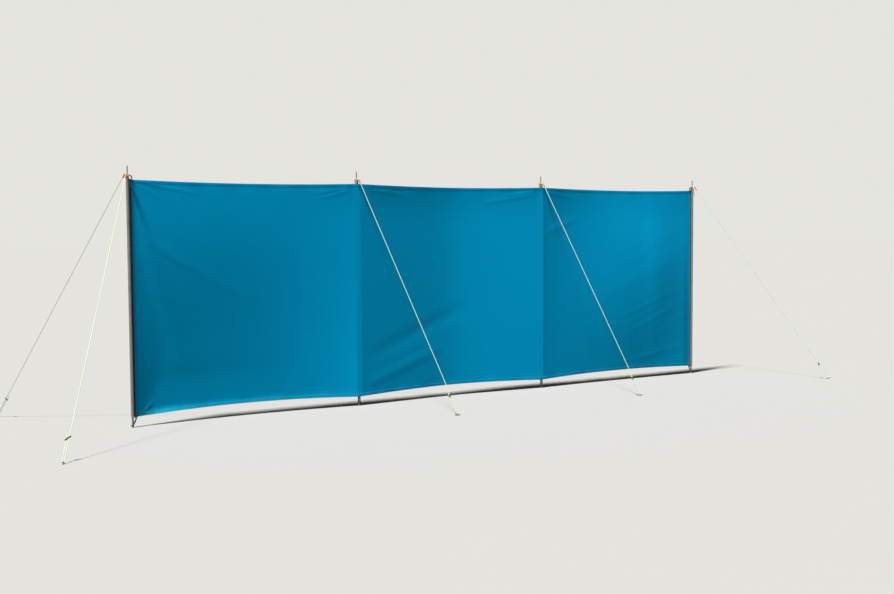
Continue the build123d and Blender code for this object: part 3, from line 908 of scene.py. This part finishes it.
def stitches(name, rows, material):
    """Rows of stitches as one piece. Each row is its path and the direction that it stands out."""
    # Each stitch has two rings of three points, and a tip at both ends
    pattern = [(0, 3, 4, 1), (1, 4, 5, 2), (2, 5, 3, 0)]
    pattern += [(6, 0, 1), (6, 1, 2), (6, 2, 0), (7, 4, 3), (7, 5, 4), (7, 3, 5)]
    corners, faces, start = [], [], 0
    for path, outward in rows:
        reach = reach_along(path)
        starts = (np.arange(int(reach[-1] // STITCH_PITCH)) + 0.15) * STITCH_PITCH
        first, last = points_at(path, reach, starts), points_at(path, reach, starts + STITCH_LENGTH)
        way = (last - first) / np.linalg.norm(last - first, axis=1, keepdims=True)
        side = np.cross(way, np.asarray(outward, float))
        side /= np.linalg.norm(side, axis=1, keepdims=True)
        wide = side * THREAD_RADIUS
        high = np.cross(side, way) * THREAD_RADIUS * 1.5
        ring = []
        for spot in (first + 0.2 * (last - first), last - 0.2 * (last - first)):
            ring += [spot + wide, spot + high, spot - wide]
        corners.append(np.stack(ring + [first, last], axis=1).reshape(-1, 3))
        for n in range(len(starts)):
            faces += [tuple(start + 8 * n + i for i in face) for face in pattern]
        start += 8 * len(starts)
    return add_piece(name, np.concatenate(corners), faces, material)


def seam(x, z, stand):
    """A row of stitches over the wall, out from its middle by a distance, and the way it faces."""
    path = wall_point(*np.broadcast_arrays(x, z))
    path[:, 1] -= stand
    return path, (0, -1 if stand > 0 else 1, 0)


def hem_seams(name, edge, inward):
    """Two rows of stitches along a hem, on both faces of the wall."""
    x = np.arange(CLOTH_LEFT + TAPE_WIDTH, CLOTH_RIGHT - TAPE_WIDTH, SEAM_STEP)
    stand = CLOTH_THICK / 2 + HEM_STAND
    rows = [
        seam(x, edge + inward * depth, out)
        for depth in (HEM_WIDTH - 3 * MM, HEM_WIDTH - 9 * MM)
        for out in (stand, -stand)
    ]
    return stitches(name, rows, THREAD)


def pole_seams():
    """Stitches that hold each pole's tunnel to the back of the wall, seen on the front."""
    z = np.arange(CLOTH_BOTTOM + HEM_WIDTH, CLOTH_TOP - HEM_WIDTH, SEAM_STEP)
    rows = [
        seam(at + aside, z, CLOTH_THICK / 2)
        for at in POLE_X[1:-1]
        for aside in (-POLE_SEAM_ASIDE, POLE_SEAM_ASIDE)
    ]
    return stitches("pole_seams", rows, THREAD)


def end_tape(pole):
    """Black tape folded over the wall's end edge, from just under the hem to the upper corner."""
    side = -outward(pole)
    turns = half_turn(20)
    half, inner = TAPE_HALF, TAPE_HALF - TAPE_THICK
    section = [(TAPE_WIDTH, half)]
    section += [(half * (1 - math.cos(t)), -half * math.sin(t)) for t in turns]
    section += [(TAPE_WIDTH, -half), (TAPE_WIDTH, -inner * 0.8)]
    section += [(TAPE_THICK + inner * (1 - math.cos(t)), inner * math.sin(t)) for t in turns]
    section += [(TAPE_WIDTH, inner * 0.8)]
    depth, aside = np.array(section).T
    z = np.arange(CLOTH_BOTTOM - TAPE_END, CLOTH_TOP + TAPE_END, UPRIGHT_STEP)[:, None]
    sway = 0.35 * MM * np.sin(z * 37.0) + 0.25 * MM * np.sin(z * 91.0 + 1.0)
    near = POLE_X[pole - 1] + side * (TAPE_NEAR + depth * (1 + 0.04 * np.sin(z * 55.0)))
    height = np.broadcast_to(z, near.shape)
    shift = wall_y(near, np.clip(height, CLOTH_BOTTOM, CLOTH_TOP))
    away = side * aside + shift + sway * depth / TAPE_WIDTH
    corners, faces = swept(np.stack([near, away, height], axis=2))
    flat = np.stack([np.broadcast_to(depth + aside, near.shape), height], axis=2).reshape(-1, 2)
    return corners, faces, corner_uvs(faces, flat)


def elastic_loop(x, to_cloth, leg, ring, height):
    """A covered elastic: up one leg, round a pin or a foot, and down the other leg.

    leg lists how far out from the pole, how far aside, and how high each of its bends is.
    """
    to_cloth = Vector(to_cloth)
    aside = Vector((0, 0, 1)).cross(to_cloth)
    middle = Vector((x, 0, 0))
    lift = Vector((0, 0, 1))
    up_leg = [middle + to_cloth * out + aside * wide + lift * z for out, wide, z in leg]
    down_leg = [middle + to_cloth * out - aside * wide + lift * z for out, wide, z in leg[::-1]]
    turns = [math.radians(a) for a in range(75, 286, 15)]
    round_it = [
        middle + to_cloth * (ring * math.cos(t)) + aside * (ring * math.sin(t)) + lift * height
        for t in turns
    ]
    path = smooth_path(up_leg + round_it + down_leg, ELASTIC_STEP)
    return tube(path, ELASTIC_RADIUS, ELASTIC_SIDES)


def elastic_loops(pole, to_cloth, upper, lower):
    """The loop over the pin and the one round the foot."""
    x = POLE_X[pole - 1]
    loops = [
        elastic_loop(x, to_cloth, upper, PIN_RING, LOOP_HEIGHT),
        elastic_loop(x, to_cloth, lower, FOOT_RING, FOOT_LOOP_HEIGHT),
    ]
    corners, faces, uvs = joined(loops)
    add_piece(f"elastic_loops_{pole}", corners, faces, ELASTIC, uvs)


def webbing(name, pole, tape):
    """Add a pole's tape in place of the solid one."""
    corners, faces, uvs = tape
    piece = add_piece(f"{name}_{pole}", corners, faces, TAPE, uvs)
    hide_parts(f"webbing_{pole}")


def end_webbing(pole):
    """The folded tape at an end of the wall, its seams, and its elastic loops."""
    side = -outward(pole)
    out = ELASTIC_OUT
    upper = (
        (out, 3.1 * MM, CLOTH_TOP - 10 * MM),
        (out, 3.1 * MM, CLOTH_TOP - 1 * MM),
        (out - 2 * MM, 3.4 * MM, CLOTH_TOP + 12 * MM),
        (out - 7 * MM, 4.0 * MM, LOOP_HEIGHT - 2 * MM),
        (out - 15 * MM, 4.9 * MM, LOOP_HEIGHT + 0.5 * MM),
    )
    lower = (
        (out, 3.1 * MM, CLOTH_BOTTOM + 11 * MM),
        (out, 3.1 * MM, CLOTH_BOTTOM + 3 * MM),
        (out - 7 * MM, 4.6 * MM, CLOTH_BOTTOM - 12 * MM),
        (out - 16 * MM, 6.6 * MM, FOOT_LOOP_HEIGHT + 17 * MM),
    )
    elastic_loops(pole, (side, 0, 0), upper, lower)
    webbing("end_webbing", pole, end_tape(pole))
    x = POLE_X[pole - 1] + side * (TAPE_NEAR + TAPE_WIDTH - 2.5 * MM)
    z = np.arange(CLOTH_BOTTOM, CLOTH_TOP, SEAM_STEP)
    rows = [seam(x, z, stand) for stand in (TAPE_HALF, -TAPE_HALF)]
    stitches(f"tape_seams_{pole}", rows, DARK_THREAD)


def flat_tape(x, y, low, high, width):
    """A short upright tape with softened edges, which bends over a little at both ends."""
    half, edge, steps = width / 2, TAPE_THICK / 2, 14
    section = [(-half, -0.3), (-half + edge, -1), (half - edge, -1), (half, -0.3)]
    section += [(half, 0.3), (half - edge, 1), (-half + edge, 1), (-half, 0.3)]
    wide, thick = np.array(section).T
    z = np.linspace(low, high, steps)[:, None]
    end = 2 * np.abs(z - (low + high) / 2) / (high - low)
    near = np.broadcast_to(x + wide * (1 - 0.04 * end**6), (steps, len(section)))
    away = y + thick * edge * (1 - 0.35 * end**8)
    height = np.broadcast_to(z, near.shape)
    corners, faces = swept(np.stack([near, np.broadcast_to(away, near.shape), height], axis=2))
    flat = np.stack([near + thick * edge, height], axis=2).reshape(-1, 2)
    return corners, faces, corner_uvs(faces, flat)


def middle_webbing(pole):
    """The tapes behind the wall at a middle pole, each with its elastic loop."""
    out = TAPE_NEAR + 0.75 * MM
    upper = (
        (out, 5 * MM, CLOTH_TOP - 12 * MM),
        (out, 5 * MM, CLOTH_TOP + 6 * MM),
        (out, 5.2 * MM, LOOP_HEIGHT - 5 * MM),
        (out - 3.5 * MM, 5.4 * MM, LOOP_HEIGHT),
    )
    lower = (
        (out, 5 * MM, CLOTH_BOTTOM + 12 * MM),
        (out, 5 * MM, CLOTH_BOTTOM - 6 * MM),
        (out, 7 * MM, FOOT_LOOP_HEIGHT + 14 * MM),
    )
    tapes = [
        flat_tape(POLE_X[pole - 1], -out, low, high, MIDDLE_TAPE_WIDTH)
        for low, high in (
            (CLOTH_TOP - MIDDLE_TAPE_TOP, CLOTH_TOP + TAPE_END),
            (CLOTH_BOTTOM - TAPE_END, CLOTH_BOTTOM + MIDDLE_TAPE_FOOT),
        )
    ]
    webbing("middle_webbing", pole, joined(tapes))
    elastic_loops(pole, (0, -1, 0), upper, lower)


def pole_tunnel(pole):
    """The cloth tunnel behind a middle pole, with small cross wrinkles and flat sewn edges."""
    low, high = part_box(f"pole_sleeve_{pole}")
    x = POLE_X[pole - 1]
    half_width = (high.x - low.x) / 2
    inside = POLE_RADIUS + TUNNEL_ROOM
    angles = [math.radians(a) for a in range(-48, 229, 12)]  # round the pole's back
    line = [(-half_width * share, None) for share in (1, 0.8, 0.6)]
    line += [(-inside * math.cos(a), inside * math.sin(a)) for a in angles]
    line += [(half_width * share, None) for share in (0.6, 0.8, 1)]
    zs = np.arange(low.z, high.z, UPRIGHT_STEP)
    points = np.zeros((len(zs), len(line), 3))
    points[:, :, 2] = zs[:, None]
    for c, (across, back) in enumerate(line):
        pucker = 0.5 * MM * np.sin(zs * 90.0 + c * 0.7) + 0.4 * MM * np.sin(zs * 37.0 - c)
        if back is None:
            points[:, c, 0] = x + across
            points[:, c, 1] = wall_y(points[:, c, 0], zs) + CLOTH_THICK + 0.2 * MM
        else:
            loose = max(0.0, back + inside * 0.7) / inside
            points[:, c, 0] = x + across * (1 + loose * pucker / (2 * inside))
            points[:, c, 1] = back + loose * (0.5 * pucker + 0.3 * MM)
    corners, faces = shell(points, TUNNEL_THICK)
    reach = reach_along(points[0])
    flat = np.array([(r, z) for z in zs for r in reach])
    uvs = corner_uvs(faces, np.concatenate([flat, flat]))
    piece = add_piece(f"pole_tunnel_{pole}", corners, faces, CLOTH, uvs)
    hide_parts(f"pole_sleeve_{pole}")


# The guy ropes


class Stay:
    """Where one guy rope runs, from the pin to its peg."""

    def __init__(self, pole, side):
        self.name = f"{side}_{pole}"
        self.pole = pole
        self.toward = -1 if side == "front" else 1
        if is_end(pole):
            along, aside = outward(pole) * END_PEG_ALONG, self.toward * END_PEG_ASIDE
        else:
            along, aside = MIDDLE_PEG_ALONG, self.toward * MIDDLE_PEG_ASIDE
        x = POLE_X[pole - 1]
        self.out = Vector((along, aside, 0)).normalized()
        self.across = Vector((-self.out.y, self.out.x, 0))
        self.eye = Vector((x, 0, LOW_EYE if side == "front" else LOW_EYE + EYE_STEP))
        self.knot = self.eye + self.out * KNOT_OUT
        self.ring = Vector((x + along, aside, PEG_LOOP_HEIGHT))
        self.length = (self.knot - self.ring).length
        self.up = (self.knot - self.ring).normalized()
        self.peg_way = self.across.cross(self.up)

    def at(self, aside, height):
        return self.ring + self.across * aside + self.up * height

    def on_tail(self, height):
        """A place on the short end, which runs up from the peg beside the rope."""
        aside = -(PEG_LOOP_RADIUS + height * math.sin(TAIL_SPREAD)) / math.cos(TAIL_SPREAD)
        return self.at(aside, height)


def coil(centre, way, radius, turns, rise):
    """Points of a tight winding round a rope, which rises by a step in each turn."""
    way = way.normalized()
    side = way.cross(Vector((0, 0, 1)) if abs(way.z) < 0.9 else Vector((1, 0, 0))).normalized()
    other = way.cross(side)
    points = []
    steps = int(turns * COIL_STEPS)
    for i in range(steps + 1):
        angle = 2 * math.pi * turns * i / steps
        lift = way * (rise * turns * (i / steps - 0.5))
        points.append(
            centre + side * math.cos(angle) * radius + other * math.sin(angle) * radius + lift
        )
    return points


def laid_rope(path):
    path = resample(path, ROPE_STEP)
    return tube(path, ROPE_RADIUS, ROPE_SIDES, lobes=3, lay=ROPE_LAY, depth=0.16)


def eye_tails(stay):
    """The short ends that hang down from the eye. Each bend is so far across, out and up, in mm."""
    if is_end(stay.pole) and stay.toward > 0:
        away = outward(stay.pole)
        bends = ((3, 4, 0), (9, 9, -4), (11, 10, -15), (11, 10, -34))
        strands = [[(away * across, out, rise) for across, out, rise in bends]]
    elif is_end(stay.pole):
        strands = (
            ((0, 5, 0), (1, 11, -3), (2, 14, -13), (3, 14, -34), (8, 13.5, -54), (13, 13, -74)),
            ((-3, 5, 0), (-3, 11, -2), (-3, 14.5, -12), (-2, 14.5, -26), (-3, 14.5, -40)),
        )
    else:
        strands = (((-1, 5, 0), (-4, 15, 1), (-6, 19, -5), (-7, 19, -16), (-8, 18, -27)),)
    paths = []
    for strand in strands:
        points = [
            stay.eye + Vector((across, 0, rise)) * MM + Vector((0, stay.toward, 0)) * (out * MM)
            for across, out, rise in strand
        ]
        paths.append(smooth_path(points, ROPE_STEP))
    return paths


def guy_rope(stay):
    """One rope: an eye round the pin, a winding below it, the long run, the peg, and back."""
    lean = math.asin(EYE_RADIUS / KNOT_OUT)
    eye_path = [stay.knot]
    for i in range(EYE_STEPS + 1):
        angle = lean - (math.pi + 2 * lean) * i / EYE_STEPS
        across, out = EYE_RADIUS * math.cos(angle), EYE_RADIUS * math.sin(angle)
        eye_path.append(stay.eye + stay.across * across + stay.out * out)
    eye_path.append(stay.knot)
    lean = math.asin(PEG_LOOP_RADIUS / stay.length)
    run = [stay.knot]
    for i in range(PEG_LOOP_STEPS + 1):
        angle = lean - (math.pi + lean + TAIL_SPREAD) * i / PEG_LOOP_STEPS
        run.append(stay.at(math.cos(angle) * PEG_LOOP_RADIUS, math.sin(angle) * PEG_LOOP_RADIUS))
    run.append(stay.on_tail(STOP_HEIGHT + TAIL_PAST_STOP))
    under_eye = stay.knot - stay.up * WINDING_BELOW
    wound = coil(under_eye, stay.up, WINDING_RADIUS, WINDING_TURNS, WINDING_RISE)
    stopper = coil(stay.on_tail(STOP_HEIGHT), stay.up, STOP_RADIUS, STOP_TURNS, STOP_RISE)
    for name, material, paths in (
        ("stay_rope", ROPE, [run, stopper]),
        # The eye end takes the darker copy of the rope, which is partly painted shade.
        ("rope_eye", SHADED_EYE_ROPE, [eye_path, wound] + eye_tails(stay)),
    ):
        corners, faces, uvs = joined([laid_rope(path) for path in paths])
        piece = add_piece(f"{name}_{stay.name}", corners, faces, material, uvs)
        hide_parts(f"guy_rope_{stay.name}")


def wire_peg(stay):
    """The part of a peg above the ground: a round wire, square to its rope, bent into a hook."""
    way, back = stay.peg_way, -stay.up
    buried = stay.ring - way * (stay.ring.z / way.z)
    centre = stay.ring + way * PEG_SHANK + back * PEG_BEND
    bend = []
    for turn in range(0, 91, 10):
        t = math.radians(turn)
        bend.append(centre + way * (PEG_BEND * math.sin(t)) - back * (PEG_BEND * math.cos(t)))
    upper = resample([buried + way * 6 * MM] + bend + [bend[-1] + back * PEG_HOOK], PEG_STEP)
    path = np.concatenate([[list(buried)], upper])
    corners, faces, uvs = tube(path, PEG_RADIUS, PEG_SIDES)
    # The lowest ring is full width and lies level on the ground
    start = np.array(buried)
    ring = start + (corners[:PEG_SIDES] - start) / END_TAPER
    corners[:PEG_SIDES] = ring - np.outer(ring[:, 2] / way.z, np.array(way))
    piece = add_piece(f"wire_peg_{stay.name}", corners, faces, PEG_STEEL, uvs)
    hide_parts(f"peg_{stay.name}")


def finish_node(name, material, rounding=0.0, segments=2):
    """Give a rigid piece its finish, and round its sharp edges a little."""
    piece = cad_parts[name]
    piece.data.materials.clear()
    piece.data.materials.append(material)
    if rounding:
        soft = piece.modifiers.new("rounded_edges", "BEVEL")
        soft.width = rounding
        soft.segments = segments
        soft.limit_method = "ANGLE"
        soft.angle_limit = SHARP_EDGE


# The studio


def floor():
    """A wide, pale, slightly mottled floor, which gives back less light than it shows."""
    material, tree, shader = start_material("pale_floor", Specular_IOR_Level=0.0)
    pale = (FLOOR_PALE, FLOOR_PALE, FLOOR_PALE * 0.98, 1)
    dull = (FLOOR_BOUNCE, FLOOR_BOUNCE, FLOOR_BOUNCE, 1)
    uneven = use_group(tree, UNEVEN, Colour=pale, Vector=place(tree), Patches=0.6, Amount=0.02)
    seen = node(tree, "ShaderNodeLightPath", {}).outputs["Is Camera Ray"]
    rough = ranged(tree, uneven["Mask"], *MASK_SPAN, 0.85, 0.95)
    tree.links.new(layered(tree, seen, dull, uneven["Colour"]), shader.inputs["Base Color"])
    tree.links.new(rough, shader.inputs["Roughness"])
    spots = np.linspace(-FLOOR_REACH, FLOOR_REACH, FLOOR_SPOTS)
    middle = (POLE_X[0] + POLE_X[-1]) / 2
    corners = [(x + middle, y, 0.0) for y in spots for x in spots]
    mesh = bpy.data.meshes.new("studio_floor")
    mesh.from_pydata(corners, [], grid_faces(FLOOR_SPOTS, FLOOR_SPOTS))
    mesh.materials.append(material)
    plane = bpy.data.objects.new("studio_floor", mesh)
    bpy.context.scene.collection.objects.link(plane)


def studio_light():
    """A high, soft key that grazes the front of the wall, in a pale room."""
    key = bpy.data.lights.new("high_key", "SUN")
    key.energy = KEY_STRENGTH
    key.angle = KEY_SOFTNESS
    key.color = KEY_TINT
    lamp = bpy.data.objects.new("high_key", key)
    lamp.rotation_euler = Vector(KEY_WAY).to_track_quat("-Z", "Y").to_euler()
    bpy.context.scene.collection.objects.link(lamp)
    world = bpy.data.worlds.new("pale_room")
    world.use_nodes = True
    tree = world.node_tree
    behind = tree.nodes["Background"]
    behind.inputs["Color"].default_value = ROOM_SEEN
    around = node(tree, "ShaderNodeBackground", {"Color": ROOM_TINT, "Strength": ROOM_LIGHT})
    seen = node(tree, "ShaderNodeLightPath", {}).outputs["Is Camera Ray"]
    sockets = {0: seen, 1: around.outputs[0], 2: behind.outputs[0]}
    room = node(tree, "ShaderNodeMixShader", sockets)
    tree.links.new(room.outputs[0], tree.nodes["World Output"].inputs["Surface"])
    bpy.context.scene.world = world
    bpy.context.scene.view_settings.view_transform = "Standard"


def camera():
    """The camera stands and looks as it did for the photograph."""
    yaw, pitch, roll = CAMERA_YAW, CAMERA_PITCH, CAMERA_ROLL
    forward = Vector(
        (math.sin(yaw) * math.cos(pitch), math.cos(yaw) * math.cos(pitch), math.sin(pitch))
    )
    level = Vector((math.cos(yaw), -math.sin(yaw), 0))
    upright = level.cross(forward)
    right = math.cos(roll) * level + math.sin(roll) * upright
    up = -math.sin(roll) * level + math.cos(roll) * upright
    lens = bpy.data.cameras.new("camera")
    lens.lens = CAMERA_LENS
    lens.sensor_width = SENSOR_WIDTH
    lens.clip_end = VIEW_END
    made = bpy.data.objects.new("camera", lens)
    turned = Matrix((right, up, -forward)).transposed().to_4x4()
    made.matrix_world = Matrix.Translation(CAMERA_AT) @ turned
    bpy.context.scene.collection.objects.link(made)
    bpy.context.scene.camera = made


def build():
    wall = cloth_wall()
    edging = [
        hem("hem_bottom", CLOTH_BOTTOM, 1),
        hem("hem_top", CLOTH_TOP, -1),
        hem_seams("hem_seams_bottom", CLOTH_BOTTOM, 1),
        hem_seams("hem_seams_top", CLOTH_TOP, -1),
        pole_seams(),
    ]
    for pole in range(1, POLE_COUNT + 1):
        if is_end(pole):
            end_webbing(pole)
        else:
            middle_webbing(pole)
            pole_tunnel(pole)
        finish_node(f"pole_{pole}", POLE_STEEL, STEEL_ROUNDING)
        finish_node(f"pole_pin_{pole}", PIN_STEEL)
        finish_node(f"foot_cap_{pole}", FOOT_STEEL, STEEL_ROUNDING)
        for side in ("front", "back"):
            stay = Stay(pole, side)
            guy_rope(stay)
            wire_peg(stay)
            finish_node(f"slider_{stay.name}", RUNNER_PLASTIC, PLASTIC_ROUNDING, segments=3)


floor()
studio_light()
camera()
build()
